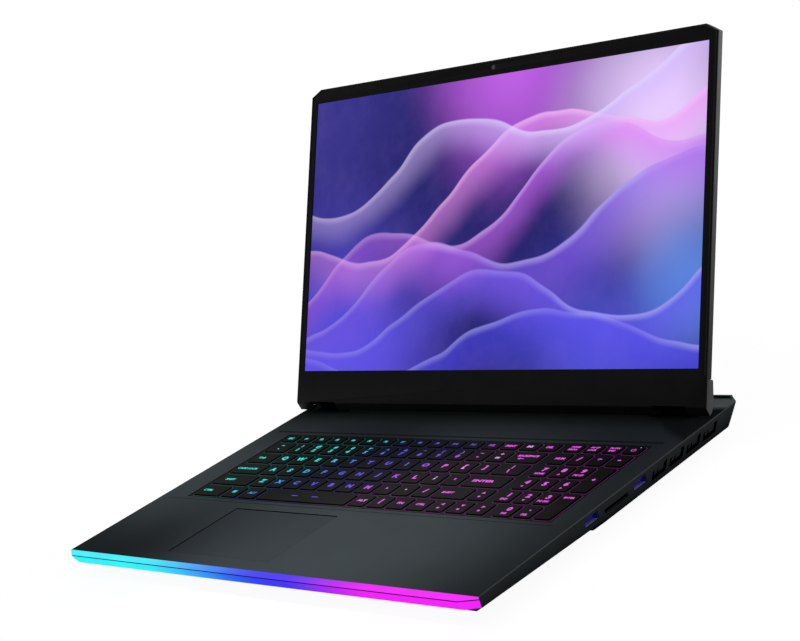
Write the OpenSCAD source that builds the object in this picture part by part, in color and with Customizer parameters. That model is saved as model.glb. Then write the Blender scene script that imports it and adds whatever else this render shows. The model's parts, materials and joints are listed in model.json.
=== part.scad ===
// Laptop computer with a 17.3-inch screen, a lit keyboard with a number pad,
// a light bar along its front edge and a shelf behind its lid.
// +X is the user's right, +Y the rear and +Z up. The feet stand on z = 0.

/* [Base] */
// Width of the base
base_w = 397; // [392:1:402]
// Depth of the deck, from its front edge to the rear edge of the shelf
deck_d = 275.8; // [272:0.1:282]
// Height of the deck's top face above the table
deck_h = 19.7; // [19.4:0.1:21]
// How far the light bar stands out in front of the deck
bar_out = 7.1; // [5:0.1:9]
// Height of the rubber feet
foot_h = 1.8; // [1.4:0.1:2.4]
// Thickness of the casing's walls
wall = 1.5; // [1.2:0.1:1.8]

/* [Lid] */
// Angle between the closed lid and the lid as it stands
lid_open = 117.2; // [100:0.1:135]
// Width of the lid
lid_w = 396; // [392:1:400]
// Width of the picture
screen_w = 382; // [378:0.5:384]
// Height of the picture
screen_h = 214.9; // [212:0.1:216]
// Height of the lid above the bottom edge of the picture
lid_top = 226.4; // [224:0.1:228]
// Height of the hinge axis above the deck
hinge_up = 7.8; // [7.6:0.1:8.6]
// Distance of the hinge axis from the deck's front edge
hinge_y = 243.6; // [242:0.1:246]

/* [Keyboard] */
// Distance between the letter keys' centres
key_pitch = 18.42; // [18.2:0.01:18.5]
// Distance between the rows of keys
row_pitch = 18.45; // [18.2:0.01:18.6]
// Gap between two keys
key_gap = 3.2; // [2.6:0.1:3.6]
// Distance between the number pad's columns
pad_pitch = 16.2; // [16:0.1:16.4]
// How far a key goes down
key_travel = 1.7; // [1:0.1:1.9]

/* [Fans] */
// Radius of a fan's rotor
fan_r = 34; // [30:0.5:35]
// Number of blades on a rotor
fan_blades = 27; // [15:1:31]

/* [Hidden] */

big = 500;
round_fn = 48;
small_fn = 24;

// Side view of the base
part_front = deck_h - 7;            // height of the side's lower edge at the front
part_mid = deck_h - 10.5;           // and where the front half of the underside ends
part_low = deck_h - 11.2;           // and along the rear half
step_y = 113;                       // where the underside steps down
step_len = 4;
rear_low_y = deck_d - 13.8;         // foot of the sloping rear face
rear_corner = 7.5;                  // chamfer at the rear corners
rear_corner_tilt = 40.8;            // that chamfer's lean, which follows the rear face
edge_chamfer = 0.6;                 // along the deck's side edges
deck_t = 1.6;                       // thickness of the deck
deck_under = deck_h - deck_t;
floor_t = 1.4;                      // thickness of the bottom cover
floor_top = foot_h + floor_t;
skirt_front = 0.15;                 // height of the bottom cover's upright side at the front
skirt_low = part_low - 0.75;        // and its foot along the rear half
under_fall = atan((part_front - part_mid) / step_y);
under_tilt = 29.5;                  // slope of the underside's sides
lip_h = 1.3;                        // ridge along the shelf's rear edge
lip_w = 2.2;
lip_chamfer = 0.3;

// Light bar
bar_seam_z = deck_h - 0.75;         // lower edge of the seam along the bar's nose
bar_low_y = -3.1;
bar_low_z = deck_h - 7.9;
bar_nose_x = base_w / 2 - 10.6;     // where the bar's ends start to slope back
bar_back_z = 17.6;                  // height of the seam where the bar meets the deck
bar_end_low = 12.85;                // lowest point of the bar's ends
bar_end_t = 0.4;
seam_t = 0.6;
seam_out = 0.15;                    // how far the seam stands out

// Lid, in its own frame: X across, Y up the lid from the picture's bottom edge,
// Z towards the user from the picture's surface
axis_up = -23.5;                    // the hinge axis in that frame
axis_back = -6.3;
bezel_z = 0.7;                      // front of the bezel
bezel_back = -0.3;
lid_back = -6;                      // outer face of the lid
lid_side_chamfer = 1.4;
lid_corner = [10.2, 5.7];           // chamfer at the lid's upper corners
lid_wall = 1.2;
chin_low = -25.4;                   // lower edge of the bezel
cover_top = -7;                     // upper edge of the hinge cover
lid_gap = 0.25;                     // between the lid's own shells
gasket_in = 0.7;                    // gap between the bezel's edge and the rubber seal round it
gasket_w = 1;
gasket_h = 0.3;

webcam_up = 220.8;
webcam_r = 1.7;

// Hinges
pin_r = 1.25;
pin_play = 0.05;
barrel_r = 2.6;
knuckle_r = 2.9;
barrel_x = [154.6, 181.4];
knuckle_x = [147, 154.2];
knuckle_w = 7.2;
notch_x = [154.3, 181.7];
axis_z = deck_h + hinge_up;

// The whole object's footprint, lid included, is centred on the origin
lid_lean = 180 - lid_open;
back_edge = [lid_top - 1.5, lid_back];
lid_back_y = hinge_y + (back_edge[0] - axis_up) * cos(lid_lean) - (back_edge[1] - axis_back) * sin(lid_lean);
frame_y = (lid_back_y - bar_out) / 2;

// Keyboard
keys_left = -167.7;
keys_front = 93.4;
key_d = 15.1;
top_row_d = 10.6;
keys_right = keys_left + 15 * key_pitch;
pad_left = 114.8;
key_top = deck_h - 0.1;
cap_h = 1.8;
cap_bevel = 0.5;
key_r = 1.2;
plate_top = key_top - cap_h - key_travel - 0.3;
plate_t = 1;
post_r = 1.5;
post_low = plate_top - plate_t - 0.5;
post_play = 0.35;
frame_top = key_top - 0.9;          // frame between the keys
frame_t = 0.8;
frame_edge = 1.2;
well_play = 0.4;
window = [[-171.2, 90.4], [179.6, 198.6]];
rim = 4;                            // overlap of the deck and the keyboard's plate
recess = [[-188.5, 85.5], [186.5, 203.5]];
recess_h = 0.4;
recess_slope = 1.5;

// Each row, front row first, is a list of [pitch, group]; the last key fills the row.
function run(count, pitch, group) = [for (i = [1:count]) [pitch, group]];
ROWS = [
    concat([[31.7, "modifier_keys"], [18.6, "modifier_keys"], [20.4, "modifier_keys"], [94.8, "space_bar"]],
           run(4, 18.4, "modifier_keys"), run(3, 17.75, "arrow_keys")),
    concat([[42.9, "shift_keys"]], run(10, key_pitch, "letter_keys"), [[32.2, "shift_keys"], [17.8, "arrow_keys"]]),
    concat([[35.0, "side_keys"]], run(11, key_pitch, "letter_keys"), [[0, "enter_key"]]),
    concat([[27.9, "side_keys"]], run(12, key_pitch, "letter_keys"), [[0, "side_keys"]]),
    concat([[26.0, "number_keys"]], run(12, key_pitch, "number_keys"), [[0, "backspace_key"]]),
    concat([[17.4, "escape_key"]], run(15, 17.4, "function_keys"))];
// Number pad: [column, row, rows high, group]
PAD = concat(
    [for (row = [1, 2, 3], column = [0, 1, 2]) [column, row, 1, "pad_keys"]],
    [for (column = [0:3]) [column, 4, 1, "pad_keys"]],
    [for (column = [0:2]) [column, 5, 1, "function_keys"]],
    [[3, 5, 1, "power_key"], [3, 2, 2, "pad_plus_key"], [3, 0, 2, "pad_enter_key"]]);
// The two keys at the front of the number pad: [left edge, width]
PAD_FRONT = [[129.5, 13.9], [146.7, 13.3]];

function row_depth(row) = row == 5 ? top_row_d : key_d;
function row_start(row, key) = key == 0 ? keys_left : row_start(row, key - 1) + ROWS[row][key - 1][0];
function key_width(row, key) = ROWS[row][key][0] > 0
    ? ROWS[row][key][0] - key_gap
    : keys_right - key_gap - row_start(row, key);
// Every key as [left, front, width, depth, group]
KEYS = concat(
    [for (row = [0:len(ROWS) - 1], key = [0:len(ROWS[row]) - 1])
        [row_start(row, key), keys_front + row * row_pitch, key_width(row, key), row_depth(row), ROWS[row][key][1]]],
    [for (k = PAD)
        [pad_left + k[0] * pad_pitch, keys_front + k[1] * row_pitch, pad_pitch - key_gap,
         row_depth(k[1]) + (k[2] - 1) * row_pitch, k[3]]],
    [for (k = PAD_FRONT) [k[0], keys_front, k[1], key_d, "pad_keys"]]);

// Touchpad
pad_box = [[-98.5, 12.4], [5.3, 76.6]];
pad_play = 0.35;
pad_top = deck_h - 0.15;
pad_t = 1.3;
pivot_r = 0.5;                      // stub shafts at the touchpad's rear corners
pivot_y = 75.4;
pivot_z = deck_h - 2.5;

// Ports: USB-A on the right at these distances from the front, one on the left
usb_size = [14, 13.2, 5.4];
usb_z = deck_h - 4.7;
usb_right_y = [105.5, 156];
usb_left_y = 142;
usb_c_y = 122;
usb_c_r = 1.6;
usb_c_w = 9;
jack_y = 104;
jack_r = 1.8;
jack_len = 14;
jack_z = deck_h - 4.6;
card_y = 130.5;
card_w = 24.6;
card_h = 2.6;
card_z = deck_h - 6.1;
shell_t = 0.4;
bay_x = [-52, 88];
bay_y = 258.2;
bay_low = 8.9;
bay_high = deck_under - 0.4;
network_x = 36;
video_x = -26;
mini_video_x = 4;
inlet_x = 72;
inlet_r = 2.9;
inlet_len = 11;
rear_port_z = 13.2;
port_back = 245;

// Side vents
vent_y = 166.7;
vent_pitch = 19.1;
vent_count = 4;
vent_low = deck_h - 8.8;
vent_high = deck_h - 2.9;
vent_slant = 4.9;
vent_len = 15.3;
vent_bar = 2.3;                     // height of the open band along a vent's foot
// Each riser of a vent: [start, width, share of the height]
VENT_RISERS = [[0, 2, 0.75], [4.6, 1.6, 0.7], [11.8, 3.5, 1]];

// Rear vents
rear_vent_x = [97, 187];
rear_vent_low = 9.4;
rear_vent_high = 16.6;
rear_slat = 1.2;
rear_slat_pitch = 6;

// Inside
screw_r = 1.25;
screw_head_r = 2.4;
SCREWS = concat([for (x = [-160, -40, 40, 160]) [x, 15.5]],
                [for (x = [-178.9, 178.9]) [x, 60]],
                [[-84, 219], [0, 238.5], [84, 219]]);
board_z = 10.8;
board_t = 1.2;
fan_x = 130;
fan_y = 199;
fan_half = 38;
fan_low = 3.8;
fan_high = 12.2;
axle_r = 1.5;
pipe_z = 5.8;
pipe_t = 2.8;
pipe_w = 7;
pipe_row_y = 237.4;                 // front of the pipes that cross to the fins
pipe_end_x = 190;
fin_low = pipe_z + pipe_t;
fin_t = 0.6;

function rear_y(z) = rear_low_y + (z - part_low) * (deck_d - rear_low_y) / (deck_h - part_low);

// ---- shared shapes ----

module framed() translate([0, -frame_y, 0]) children();

// A profile of [y, z] points drawn along X, centred
module along_x(width) rotate([90, 0, 90]) linear_extrude(height = width, center = true) children();

// A profile of [x, z] points drawn along Y from front to rear
module along_y(front, rear) translate([0, rear, 0]) rotate([90, 0, 0]) linear_extrude(height = rear - front) children();

module block(low, high) translate(low) cube(high - low);

module both_sides() { children(); mirror([1, 0, 0]) children(); }

module round_rect(size, r) {
    translate([r, 0]) square([size[0] - 2 * r, size[1]]);
    translate([0, r]) square([size[0], size[1] - 2 * r]);
    for (x = [r, size[0] - r], y = [r, size[1] - r]) translate([x, y]) circle(r = r, $fn = small_fn);
}

module x_cylinder(r, from, to) translate([from, 0, 0]) rotate([0, 90, 0]) cylinder(r = r, h = to - from, $fn = round_fn);

// ---- casing ----

module rear_corner_cuts(inset) {
    both_sides() translate([base_w / 2, deck_d - rear_corner, deck_h]) rotate([0, rear_corner_tilt, 45])
        translate([-inset, -big / 2, -big / 2]) cube(big);
}

module case_outer() {
    difference() {
        intersection() {
            along_x(base_w) polygon([[0, part_front], [step_y, part_mid], [step_y + step_len, part_low],
                [rear_low_y, part_low], [deck_d, deck_h - edge_chamfer], [deck_d, deck_h], [0, deck_h]]);
            along_y(0, deck_d) polygon([[-base_w / 2, 0], [base_w / 2, 0], [base_w / 2, deck_h - edge_chamfer],
                [base_w / 2 - edge_chamfer, deck_h], [edge_chamfer - base_w / 2, deck_h],
                [-base_w / 2, deck_h - edge_chamfer]]);
        }
        rear_corner_cuts(0);
    }
    translate([0, deck_d - lip_w, deck_h - edge_chamfer]) along_x(base_w - 2 * rear_corner)
        polygon([[0, 0], [lip_w, 0], [lip_w, edge_chamfer + lip_h - lip_chamfer],
            [lip_w - lip_chamfer, edge_chamfer + lip_h], [lip_chamfer, edge_chamfer + lip_h],
            [0, edge_chamfer + lip_h - lip_chamfer]]);
}

module case_inner() {
    difference() {
        along_x(base_w - 2 * wall) polygon([[wall, 0], [rear_y(0) - 2 * wall, 0],
            [rear_y(deck_under) - 2 * wall, deck_under], [wall, deck_under]]);
        rear_corner_cuts(2 * wall);
    }
}

module vent_opening() {
    rise = vent_high - vent_low;
    lean = vent_slant / rise;
    polygon([[0, 0], [vent_len, 0], [vent_len + lean * vent_bar, vent_bar], [lean * vent_bar, vent_bar]]);
    for (riser = VENT_RISERS) {
        top = rise * riser[2];
        polygon([[riser[0], 0], [riser[0] + riser[1], 0], [riser[0] + riser[1] + lean * top, top],
                 [riser[0] + lean * top, top]]);
    }
}

module side_vents() {
    for (i = [0:vent_count - 1]) translate([base_w / 2, vent_y + i * vent_pitch, vent_low])
        along_x(4 * wall) vent_opening();
}

module usb_cut(y) translate([base_w / 2, y, usb_z]) cube([4 * wall, usb_size[1], usb_size[2]], center = true);

module hinge_slot() block([barrel_x[0] - 0.6, hinge_y + 1.2, deck_under - 1], [barrel_x[1] + 0.6, hinge_y + 3.8, deck_h + 1]);

module case_openings() {
    block([window[0][0], window[0][1], plate_top - 1], [window[1][0], window[1][1], deck_h + 1]);
    block([pad_box[0][0] - pad_play, pad_box[0][1] - pad_play, 0],
          [pad_box[1][0] + pad_play, pad_box[1][1] + pad_play, deck_h + 1]);
    both_sides() {
        side_vents();
        hinge_slot();
        block([rear_vent_x[0], rear_low_y - 8, rear_vent_low], [rear_vent_x[1], deck_d + 1, rear_vent_high]);
    }
    for (y = usb_right_y) usb_cut(y);
    translate([base_w / 2, card_y, card_z]) cube([4 * wall, card_w, card_h], center = true);
    mirror([1, 0, 0]) {
        usb_cut(usb_left_y);
        translate([base_w / 2, usb_c_y, usb_z]) along_x(4 * wall) usb_c_outline(0);
        translate([0, jack_y, jack_z]) x_cylinder(jack_r + 0.7, base_w / 2 - 2 * wall, base_w / 2 + 1);
    }
    // rear port bay
    block([bay_x[0], bay_y, bay_low], [bay_x[1], deck_d + 1, bay_high]);
    network_hole(0.2, bay_y - 2 * wall, bay_y + 1);
    video_holes(0.2, bay_y - 2 * wall, bay_y + 1);
    translate([inlet_x, 0, rear_port_z]) rotate([-90, 0, 0]) cylinder(r = inlet_r + 0.9, h = deck_d, $fn = round_fn);
}

module keyboard_recess() {
    size = recess[1] - recess[0];
    hull() {
        translate([recess[0][0], recess[0][1], deck_h]) cube([size[0], size[1], 1]);
        translate([recess[0][0] + recess_slope, recess[0][1] + recess_slope, deck_h - recess_h])
            cube([size[0] - 2 * recess_slope, size[1] - 2 * recess_slope, 1]);
    }
}

module top_case() color("#33383b") framed() {
    difference() {
        union() {
            difference() {
                case_outer();
                case_inner();
            }
            // rim that carries the keyboard plate
            block([window[0][0] - rim, window[0][1] - rim, plate_top], [window[1][0] + rim, window[1][1] + rim, deck_under]);
            // casing of the rear port bay
            intersection() {
                case_outer();
                block([bay_x[0] - wall, bay_y - wall, part_low], [bay_x[1] + wall, deck_d, deck_h]);
            }
            for (p = SCREWS) translate([p[0], p[1], floor_top]) cylinder(r = 3, h = deck_under - floor_top, $fn = small_fn);
        }
        case_openings();
        keyboard_recess();
        for (p = SCREWS) translate([p[0], p[1], floor_top - 1]) cylinder(r = screw_r, h = 9, $fn = small_fn);
    }
}

// Solid form of the bottom cover, with every face moved in by inset
module cover_form(inset) {
    top = inset > 0 ? deck_h : 0;
    half = base_w / 2 - 0.3 - inset;
    difference() {
        intersection() {
            along_x(2 * half) polygon([[inset, part_front + top], [inset, part_front - 3 * skirt_front], [12.6 + inset, foot_h + inset],
                [rear_y(part_low) - 14 - inset, foot_h + inset], [rear_y(part_low) - 2 * inset, part_low],
                [rear_y(part_low) - 2 * inset, part_low + top], [step_y + step_len, part_low + top],
                [step_y, part_mid + top]]);
            along_y(0, deck_d) polygon([[-half, 0], [half, 0], [half, 2 * deck_h], [-half, 2 * deck_h]]);
        }
        both_sides() {
            translate([base_w / 2 - 0.3, 0, part_front - skirt_front]) rotate([-under_fall, 0, 0]) rotate([0, -under_tilt, 0])
                translate([-big / 2, -big, -big + inset]) cube([big, big + step_y + 2.6 + inset, big]);
            translate([base_w / 2 - 0.3, 0, skirt_low]) rotate([0, -under_tilt, 0])
                translate([-big / 2, step_y + 2 - inset, -big + inset]) cube(big);
        }
        rear_corner_cuts(inset);
    }
}

module intake_grille(centre, size, count) {
    pitch = size[1] / count;
    for (i = [0:count - 1]) translate([centre[0] - size[0] / 2, centre[1] - size[1] / 2 + i * pitch, 0])
        cube([size[0], pitch * 0.45, floor_top + 0.2]);
}

module bottom_cover() color("#191b1c") framed() {
    difference() {
        cover_form(0);
        cover_form(floor_t);
        both_sides() {
            intake_grille([fan_x, fan_y - 4], [62, 60], 15);
            intake_grille([151, 61], [44, 26], 8);
        }
        intake_grille([0, 186], [120, 40], 10);
        for (p = SCREWS) translate([p[0], p[1], 0]) {
            cylinder(r = screw_r, h = 9, $fn = small_fn);
            cylinder(r = screw_head_r, h = foot_h + 0.9, $fn = small_fn);
        }
    }
}

module rubber_feet() color("#101010") framed() {
    for (x = [-150, 70]) translate([x, 19, 0]) linear_extrude(height = foot_h) round_rect([80, 8], 3.9);
    translate([-140, 226, 0]) linear_extrude(height = foot_h) round_rect([280, 8], 3.9);
}

module cover_screws() color("#3a3a3a") framed() {
    for (p = SCREWS) translate([p[0], p[1], foot_h + 0.1]) difference() {
        union() {
            cylinder(r = screw_head_r, h = 0.8, $fn = small_fn);
            cylinder(r = screw_r, h = 7, $fn = small_fn);
        }
        for (a = [0, 90]) rotate(a) translate([-1.4, -0.3, -0.1]) cube([2.8, 0.6, 0.6]);
    }
}

// ---- light bar ----

// The whole bar, with its nose moved out by out. Its ends slope back to the deck's corners.
module bar_form(out) {
    hull() {
        along_x(2 * bar_nose_x) polygon([[0, deck_h - 0.1], [-bar_out - out, bar_seam_z + seam_t + 0.1],
            [-bar_out - out, bar_seam_z], [bar_low_y, bar_low_z], [0, part_front]]);
        along_x(base_w) polygon([[0, deck_h - 0.1], [-bar_end_t - out, deck_h - 0.1], [-bar_end_t - out, bar_end_low],
            [0, bar_end_low]]);
    }
}

// The part of the bar between two heights, each given at the nose and at the deck
module bar_slice(low, high) along_x(base_w) polygon([[0, low[1]], [-bar_out, low[0]], [-bar_out, high[0]], [0, high[1]]]);

module light_bar_upper() color("#7df5ff") framed() intersection() {
    bar_form(-seam_out);
    bar_slice([bar_seam_z + seam_t, bar_back_z + seam_t], [deck_h, deck_h]);
}

module light_bar_lower() color("#ff2cff") framed() intersection() {
    bar_form(-seam_out);
    bar_slice([0, 0], [bar_seam_z, bar_back_z]);
}

module light_bar_seam() color("#202020") framed() intersection() {
    bar_form(0);
    bar_slice([bar_seam_z, bar_back_z], [bar_seam_z + seam_t, bar_back_z + seam_t]);
}

// ---- rear grilles ----

module rear_grilles() color("#232527") framed() {
    length = rear_vent_x[1] - rear_vent_x[0];
    both_sides() intersection() {
        along_x(base_w) polygon([[rear_y(rear_vent_low) - 3, rear_vent_low], [rear_y(rear_vent_low) - 0.8, rear_vent_low],
            [rear_y(rear_vent_high) - 0.8, rear_vent_high], [rear_y(rear_vent_high) - 3, rear_vent_high]]);
        union() {
            for (x = [0:rear_slat_pitch:length - rear_slat]) block([rear_vent_x[0] + x, rear_low_y - 8, rear_vent_low],
                [rear_vent_x[0] + x + rear_slat, deck_d, rear_vent_high]);
            block([rear_vent_x[0], rear_low_y - 8, rear_vent_low], [rear_vent_x[1], deck_d, rear_vent_low + 0.8]);
            block([rear_vent_x[0], rear_low_y - 8, rear_vent_high - 0.8], [rear_vent_x[1], deck_d, rear_vent_high]);
        }
    }
}

// ---- keyboard ----

// Frame between the keys, with a well around each and an edge that stands on the plate
module keyboard_frame() color("#2b2f31") framed() difference() {
    block([window[0][0], window[0][1], plate_top], [window[1][0], window[1][1], frame_top]);
    block([window[0][0] + frame_edge, window[0][1] + frame_edge, plate_top - 1],
          [window[1][0] - frame_edge, window[1][1] - frame_edge, frame_top - frame_t]);
    for (k = KEYS) translate([k[0] - well_play, k[1] - well_play, frame_top - 2 * frame_t])
        linear_extrude(height = 3 * frame_t)
            round_rect([k[2] + 2 * well_play, k[3] + 2 * well_play], key_r + well_play);
}

module keyboard_plate() color("#1c1c1e") framed() difference() {
    block([window[0][0] - rim, window[0][1] - rim, plate_top - plate_t],
          [window[1][0] + rim, window[1][1] + rim, plate_top]);
    for (k = KEYS) translate([k[0] + k[2] / 2, k[1] + k[3] / 2, plate_top - 2 * plate_t])
        cylinder(r = post_r + post_play, h = 3 * plate_t, $fn = small_fn);
}

// The keys of one group: a bevelled cap each, on a guide post
module keys(group) color("#262626") framed() for (k = KEYS) if (k[4] == group) {
    translate([k[0], k[1], key_top - cap_h]) linear_extrude(height = cap_h - cap_bevel) round_rect([k[2], k[3]], key_r);
    translate([k[0] + cap_bevel, k[1] + cap_bevel, key_top - cap_bevel]) linear_extrude(height = cap_bevel)
        round_rect([k[2] - 2 * cap_bevel, k[3] - 2 * cap_bevel], key_r);
    translate([k[0] + k[2] / 2, k[1] + k[3] / 2, post_low])
        cylinder(r = post_r, h = key_top - cap_h - post_low, $fn = small_fn);
}

// ---- touchpad ----

module touchpad() color("#2c3033") framed() {
    translate([pad_box[0][0], pad_box[0][1], pad_top - pad_t]) linear_extrude(height = pad_t)
        round_rect(pad_box[1] - pad_box[0], 1);
    for (x = [pad_box[0][0], pad_box[1][0] - 2])
        block([x, pivot_y - 1, pivot_z - pivot_r], [x + 2, pivot_y + 1, pad_top - pad_t]);
    translate([0, pivot_y, pivot_z]) {
        x_cylinder(pivot_r, pad_box[0][0] - 4, pad_box[0][0] + 1);
        x_cylinder(pivot_r, pad_box[1][0] - 1, pad_box[1][0] + 4);
    }
}

// Plate under the touchpad, between two rails that hold its shafts
module touchpad_bracket() color("#8a8d90") framed() {
    low = [pad_box[0][0] - 5, pad_box[0][1] - 4];
    high = [pad_box[1][0] + 5, pad_box[1][1] + 4];
    block([low[0], low[1], deck_under - 2], [high[0], pivot_y - 3, deck_under - 1.2]);
    difference() {
        for (x = [low[0], high[0] - 4]) block([x, low[1], deck_under - 2], [x + 4, high[1], deck_under]);
        translate([0, pivot_y, pivot_z]) x_cylinder(pivot_r + pin_play, low[0] - 1, high[0] + 1);
    }
}

// ---- electronics ----

module motherboard() color("#1f4d33") framed() difference() {
    union() {
        block([-88, 92, board_z], [88, 234, board_z + board_t]);
        block([-192, 92, board_z], [192, 158, board_z + board_t]);
        // tongue around the rear ports
        block([bay_x[0] - 4, 234, board_z], [bay_x[1] + 4, 252, board_z + board_t]);
    }
    network_hole(0, port_back, bay_y);
    video_holes(0, port_back, bay_y);
    block([inlet_x - 5, port_back, 0], [inlet_x + 5, bay_y, deck_h]);
    for (p = SCREWS) translate([p[0], p[1], board_z - 1]) cylinder(r = 3.4, h = 3 * board_t, $fn = small_fn);
}

module processors() color("#5b5f63") framed() {
    block([-52, 166, board_z - 0.9], [-16, 206, board_z]);
    block([14, 164, board_z - 0.9], [56, 206, board_z]);
}

module memory_modules() color("#24603f") framed() {
    for (y = [95.5, 128]) {
        block([-34, y, board_z - 2.6], [34, y + 30, board_z - 1.4]);
        block([-36, y + 26, board_z - 4], [36, y + 31, board_z]);
    }
}

module solid_state_drive() color("#2b3a4a") framed() {
    block([44, 104, board_z - 2.4], [124, 126, board_z - 1.6]);
    block([40, 104, board_z - 3.2], [46, 126, board_z]);
    block([120, 111, board_z - 1.6], [124, 119, board_z]);
}

module wireless_card() color("#2f5f46") framed() {
    block([-82, 104, board_z - 2.4], [-60, 132, board_z - 1.6]);
    block([-82, 130, board_z - 3], [-60, 135, board_z]);
}

module cold_plate() color("#b87333") framed() {
    block([-64, 160, fin_low], [64, 212, board_z - 0.9]);
}

// Flat pipes: under the cold plate, to the rear, then out to the fins
module heat_pipes() color("#c07f45") framed() both_sides() {
    for (i = [0, 1]) {
        x = 12 + i * 18;
        y = pipe_row_y + (1 - i) * (pipe_w + 0.4);
        block([x, 162, pipe_z], [x + pipe_w, y + pipe_w, pipe_z + pipe_t]);
        block([x, y, pipe_z], [pipe_end_x - 4 * (1 - i), y + pipe_w, pipe_z + pipe_t]);
    }
    block([pipe_end_x - pipe_w, 170, pipe_z], [pipe_end_x, pipe_row_y + pipe_w, pipe_z + pipe_t]);
}

module fin_pack(low, high, pitch, across) {
    span = across ? high[0] - low[0] : high[1] - low[1];
    for (d = [0:pitch:span - fin_t])
        if (across) block([low[0] + d, low[1], low[2]], [low[0] + d + fin_t, high[1], high[2]]);
        else block([low[0], low[1] + d, low[2]], [high[0], low[1] + d + fin_t, high[2]]);
    block(low, [high[0], high[1], low[2] + fin_t]);
    block([low[0], low[1], high[2] - fin_t], high);
}

module heatsink() {
    fin_pack([94, 239, fin_low], [170, 256, fin_low + 6], 3, true);
    fin_pack([175, 166, fin_low], [193, 238, fin_low + 6], 3, false);
}

module heatsink_right() color("#9c6a3f") framed() heatsink();

module heatsink_left() color("#9c6a3f") framed() mirror([1, 0, 0]) heatsink();

module fan_housing() {
    t = 0.8;
    difference() {
        block([fan_x - fan_half, fan_y - fan_half, fan_low], [fan_x + fan_half, fan_y + fan_half, fan_high]);
        // chamber, open to the rear and to the side
        translate([fan_x, fan_y, fan_low + t]) cylinder(r = fan_half - t, h = fan_high - fan_low - 2 * t, $fn = round_fn);
        block([fan_x - 30, fan_y + 12, fan_low + t], [fan_x + 30, fan_y + 60, fan_high - t]);
        block([fan_x + 12, fan_y - 28, fan_low + t], [fan_x + 60, fan_y + 28, fan_high - t]);
        translate([fan_x, fan_y, fan_high - 2 * t]) cylinder(r = 24, h = 3 * t, $fn = round_fn);
        translate([fan_x, fan_y, fan_low - t]) difference() {
            cylinder(r = 24, h = 3 * t, $fn = round_fn);
            cylinder(r = 10, h = 3 * t, $fn = round_fn);
            for (a = [30:120:359]) rotate(a) translate([0, -2, 0]) cube([30, 4, 3 * t]);
        }
    }
    translate([fan_x, fan_y, fan_low]) cylinder(r = axle_r, h = fan_high - fan_low - 2.8, $fn = small_fn);
}

module fan_housing_right() color("#151515") framed() fan_housing();

module fan_housing_left() color("#151515") framed() mirror([1, 0, 0]) fan_housing();

module fan_rotor() translate([fan_x, fan_y, 0]) {
    low = fan_low + 1.4;
    high = fan_high - 1.4;
    difference() {
        translate([0, 0, low]) cylinder(r = 12, h = high - low, $fn = round_fn);
        translate([0, 0, low - 1]) cylinder(r = axle_r + pin_play, h = high - low, $fn = small_fn);
    }
    for (i = [0:fan_blades - 1]) rotate((i + 0.5) * 360 / fan_blades) translate([11.3, 0, 0]) rotate(-24)
        block([0, -0.3, low + 0.2], [(fan_r - 11.5) * 1.02, 0.3, high - 0.2]);
}

module fan_rotor_right() color("#202020") framed() fan_rotor();

module fan_rotor_left() color("#202020") framed() mirror([1, 0, 0]) fan_rotor();

module battery_pack() color("#141414") framed() {
    block([-121, 20, floor_top + 0.1], [121, 84, floor_top + 1.1]);
    for (i = [0:3]) block([-120 + i * 61, 21, floor_top + 1.1], [-120 + i * 61 + 57, 83, 14.6]);
    block([-20, 83, floor_top + 1.1], [20, 88, 9]);
}

module speakers() color("#121212") framed() both_sides() {
    block([126, 38, floor_top + 0.1], [175.4, 84, 14]);
    translate([150, 61, 14]) cylinder(r = 14, h = 1.6, $fn = round_fn);
}

// ---- ports ----

// A sheet-metal shell around an opening of the given size, open towards +X
module shell(size) difference() {
    cube(size, center = true);
    translate([shell_t, 0, 0]) cube([size[0], size[1] - 2 * shell_t, size[2] - 2 * shell_t], center = true);
}

module usb_port(y) translate([base_w / 2 - 0.4 - usb_size[0] / 2, y, usb_z]) {
    shell([usb_size[0], usb_size[1] - 0.2, usb_size[2] - 0.2]);
    translate([-0.8, 0, 0.75]) cube([usb_size[0] - 1.6, 10.4, 1.8], center = true);
    block([-7, -5, board_z + board_t - usb_z], [-1, 5, 0.1 - usb_size[2] / 2]);
}

module usb_ports() color("#2a2f9a") framed() {
    for (y = usb_right_y) usb_port(y);
    mirror([1, 0, 0]) usb_port(usb_left_y);
}

module memory_card_slot() color("#101214") framed() translate([base_w / 2 - 0.6 - 13, card_y, card_z]) difference() {
    cube([26, card_w - 0.2, card_h - 0.2], center = true);
    translate([2, 0, 0]) cube([26, card_w - 1, 1.6], center = true);
}

module usb_c_outline(inset) {
    translate([0, 0]) square([usb_c_w - 2 * usb_c_r, 2 * (usb_c_r - inset)], center = true);
    for (s = [-1, 1]) translate([s * (usb_c_w / 2 - usb_c_r), 0]) circle(r = usb_c_r - inset, $fn = small_fn);
}

module usb_c_port() color("#8d9196") framed() mirror([1, 0, 0]) translate([base_w / 2 - 5.4, usb_c_y, usb_z]) {
    difference() {
        along_x(10) usb_c_outline(0.1);
        translate([1, 0, 0]) along_x(10) usb_c_outline(0.4);
    }
    cube([8, 6, 0.7], center = true);
}

module audio_jack() color("#202224") framed() mirror([1, 0, 0]) translate([0, jack_y, jack_z]) difference() {
    union() {
        block([base_w / 2 - jack_len - 2.6, -3.4, board_z + board_t - jack_z], [base_w / 2 - 2 * wall, 3.4, 2.9]);
        x_cylinder(jack_r + 0.6, base_w / 2 - 2 * wall - 1, base_w / 2 - 0.3);
    }
    x_cylinder(jack_r, base_w / 2 - 0.3 - jack_len, base_w / 2 + 1);
}

// The network port's outer form, and below it the video ports'
module network_hole(play, front, rear) block([network_x - 7.4 - play, front, bay_low + 0.3 - play],
                                             [network_x + 7.4 + play, rear, bay_high - 0.6 + play]);

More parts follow.
